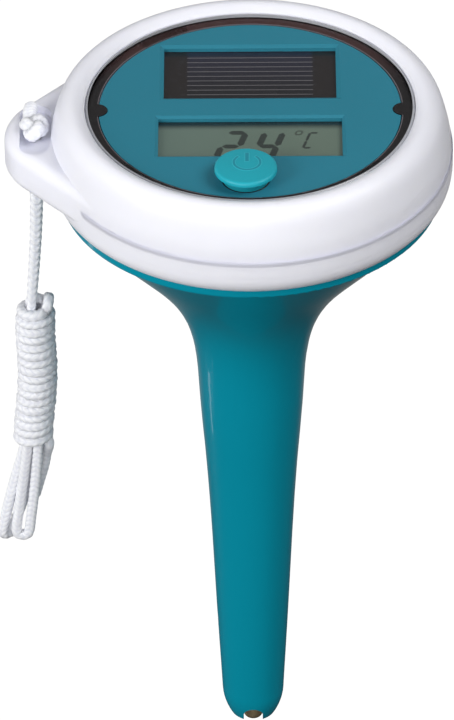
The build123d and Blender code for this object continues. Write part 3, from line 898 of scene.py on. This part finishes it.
def makeCordWhite():
    # white multifilament: painted shade darkens the grooves between stitches, with fine slanted fibres
    material, tree, shader = newMaterial("cordWhite")
    relief = addNode(tree, "ShaderNodeAttribute", attribute_name="relief").outputs["Fac"]
    uv = addNode(tree, "ShaderNodeUVMap", uv_map="UVMap").outputs["UV"]
    split = addNode(tree, "ShaderNodeSeparateXYZ")
    feed(tree, split.inputs[0], uv)
    along = calc(tree, "MULTIPLY", split.outputs[1], 40.0)
    lean = calc(tree, "MULTIPLY_ADD", split.outputs[0], cordLook["fibres"] * 2 * pi, along)
    fibre = calc(tree, "SINE", lean)
    fluff = noise(tree, ownPlace(tree)[0], 4000.0, 3.0)
    tint = mixColour(tree, ramp(tree, relief, 0.05, 0.75), cordLook["groove"], cordLook["crest"])
    spots = calc(tree, "MULTIPLY", ramp(tree, fluff, 0.6, 0.3), 0.2)
    spotted = mixColour(tree, spots, tint, (0.66, 0.66, 0.70, 1))
    feed(tree, shader.inputs["Base Color"], spotted)
    feed(tree, shader.inputs["Roughness"], calc(tree, "MULTIPLY_ADD", fluff, 0.2, 0.6))
    bumpUp(tree, shader, calc(tree, "MULTIPLY_ADD", fibre, 0.3, fluff), 0.5, 0.05 * mm)
    shader.inputs["Sheen Weight"].default_value = 0.25
    shader.inputs["Sheen Roughness"].default_value = 0.4
    letLightIn(shader, 0.6, 2.6 * mm, (1.0, 1.0, 1.0))
    shader.inputs["Specular IOR Level"].default_value = 0.3
    return material


cordWhite = makeCordWhite()
lugLength = 9 * mm
straightLength = 48 * mm
fullnessOf = {"inLug": 1.08, "swell": 0.22, "tight": 0.96, "easy": 1.08}
swellLength = 2 * mm
easingLength = 12 * mm


def lanyardFullness(travelled):
    # slim through the lug, full just below it, tight where the hank's weight pulls, easy in the hank
    if travelled < lugLength:
        return fullnessOf["inLug"]
    if travelled < straightLength:
        spread = min((travelled - lugLength) / swellLength, 1)
        top = fullnessOf["inLug"] + fullnessOf["swell"]
        drawn = (top - fullnessOf["tight"]) * (travelled - lugLength) / (straightLength - lugLength)
        return fullnessOf["inLug"] + fullnessOf["swell"] * spread - drawn
    eased = (fullnessOf["easy"] - fullnessOf["tight"]) * (travelled - straightLength) / easingLength
    return min(fullnessOf["tight"] + eased, fullnessOf["easy"])


def lanyardStitches(travelled):
    # the wraps are wound slack, so their stitches close up
    slack = max(travelled - straightLength, 0)
    return (travelled + cordSize["slackShare"] * slack) / cordSize["stitchPitch"]


def lanyardCrest(travelled):
    return cordSize["crest"] if travelled < straightLength else cordSize["flatCrest"]


lanyard, lanyardLine, lanyardLength = braidedTube(
    "lanyard",
    splineLine("lanyardLine", lanyardPoints()),
    lanyardFullness,
    lanyardStitches,
    lanyardCrest,
)
dress(lanyard, cordWhite)
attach(lanyard, "housing")
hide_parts("lanyard_cord", "lanyard_hank")
print("lanyard", round(lanyardLength, 3), "m", len(lanyard.data.polygons), "faces")

knotShape = {
    "centre": Vector((-51.9 * mm, -0.3 * mm, knotLow[2] + 2.9 * mm)),
    "width": 0.70 * mm,
    "depth": 0.92 * mm,
    "height": 0.75 * mm,
    "points": 30,
    "start": -0.62 * pi,
    "fullness": 1.42,
    "stitches": 2.6,
    "crest": 0.7,
    "shortEnd": [(-1.6, 3.4, 0.9), (-1.0, 5.6, 1.5), (-0.6, 7.6, 1.3)],
}


def knotPoints():
    # an overhand knot pulled into a lump, with its short end left lying at the far side
    points = []
    for i in range(knotShape["points"] + 1):
        turn = knotShape["start"] + 2 * pi * i / knotShape["points"]
        x = (sin(turn) + 2 * sin(2 * turn)) * knotShape["width"]
        y = (cos(turn) - 2 * cos(2 * turn)) * knotShape["depth"]
        z = -sin(3 * turn) * knotShape["height"]
        points.append(knotShape["centre"] + Vector((x, y, z)))
    for place in knotShape["shortEnd"]:
        points.append(knotShape["centre"] + Vector(place) * mm)
    return points


knot, knotLine, knotLength = braidedTube(
    "knot",
    splineLine("knotLine", knotPoints()),
    lambda travelled: knotShape["fullness"],
    lambda travelled: knotShape["stitches"] * travelled / cordSize["stitchPitch"],
    lambda travelled: knotShape["crest"] * cordSize["flatCrest"],
)
dress(knot, cordWhite)
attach(knot, "housing")
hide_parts("lanyard_knot")
print("knot", round(knotLength, 3), "m")

studio = {
    "floorLevel": -0.30,
    "floorDark": (0.02, 0.02, 0.02, 1),
    "floorBright": (0.62, 0.57, 0.53, 1),
    "roomTone": (0.27, 0.27, 0.274, 1),
}


def whiteToCamera(tree, surface, output):
    # seen straight on it is plain white; as light and in reflections it is the room's own tone
    path = addNode(tree, "ShaderNodeLightPath")
    white = addNode(tree, "ShaderNodeEmission")
    white.inputs["Strength"].default_value = 1.05
    choose = addNode(tree, "ShaderNodeMixShader")
    tree.links.new(path.outputs["Is Camera Ray"], choose.inputs["Fac"])
    tree.links.new(surface, choose.inputs[1])
    tree.links.new(white.outputs[0], choose.inputs[2])
    tree.links.new(choose.outputs[0], output)


bpy.ops.mesh.primitive_plane_add(size=12, location=(0, 2, studio["floorLevel"]))
floor = bpy.context.active_object
floor.name = "floor"
floorPale, floorTree, floorShader = newMaterial("floorPale")
# the sweep is lit brighter straight behind the object than beside and in front of it
floorX, floorY = ownPlace(floorTree)[1:3]
narrow = ramp(floorTree, calc(floorTree, "ABSOLUTE", floorX), 0.45, 0.15)
behind = calc(floorTree, "MULTIPLY", ramp(floorTree, floorY, -1.85, -1.6), narrow)
floorTint = mixColour(floorTree, behind, studio["floorDark"], studio["floorBright"])
feed(floorTree, floorShader.inputs["Base Color"], floorTint)
floorShader.inputs["Roughness"].default_value = 0.9
whiteToCamera(floorTree, floorShader.outputs[0], floorTree.nodes["Material Output"].inputs["Surface"])
dress(floor, floorPale)

world = bpy.data.worlds.new("studio")
bpy.context.scene.world = world
world.use_nodes = True
room = world.node_tree.nodes["Background"]
room.inputs["Color"].default_value = studio["roomTone"]
whiteToCamera(world.node_tree, room.outputs[0], world.node_tree.nodes["World Output"].inputs["Surface"])

# place by azimuth from the front (left negative), elevation and distance; size in metres, watts
softboxes = {
    "keyLight": {
        "azimuth": -50,
        "elevation": 22,
        "distance": 1.5,
        "size": (0.6, 0.8),
        "power": 13.0,
    },
    "frontLight": {
        "azimuth": -6,
        "elevation": 16,
        "distance": 1.5,
        "size": (0.9, 0.7),
        "power": 8.4,
    },
    "topLight": {
        "azimuth": 72,
        "elevation": 50,
        "distance": 1.5,
        "size": (0.8, 0.8),
        "power": 10.5,
    },
    "fillLight": {
        "azimuth": -115,
        "elevation": 4,
        "distance": 1.5,
        "size": (0.9, 0.9),
        "power": 3,
    },
    "edgeLight": {
        "azimuth": -106,
        "elevation": -33,
        "distance": 0.36,
        "size": (0.026, 0.2),
        "power": 0.035,
    },
}


def softbox(name, settings):
    light = bpy.data.lights.new(name, "AREA")
    light.shape = "RECTANGLE"
    light.size, light.size_y = settings["size"]
    light.energy = settings["power"]
    piece = bpy.data.objects.new(name, light)
    azimuth, elevation = radians(settings["azimuth"]), radians(settings["elevation"])
    middle = Vector((0, 0, -0.04))
    way = Vector((sin(azimuth) * cos(elevation), -cos(azimuth) * cos(elevation), sin(elevation)))
    piece.location = middle + way * settings["distance"]
    piece.rotation_euler = (-way).to_track_quat("-Z", "Y").to_euler()
    piece.visible_camera = False
    bpy.context.scene.collection.objects.link(piece)


for lightName, settings in softboxes.items():
    softbox(lightName, settings)
bpy.context.scene.view_settings.view_transform = "Standard"
print("studio made")
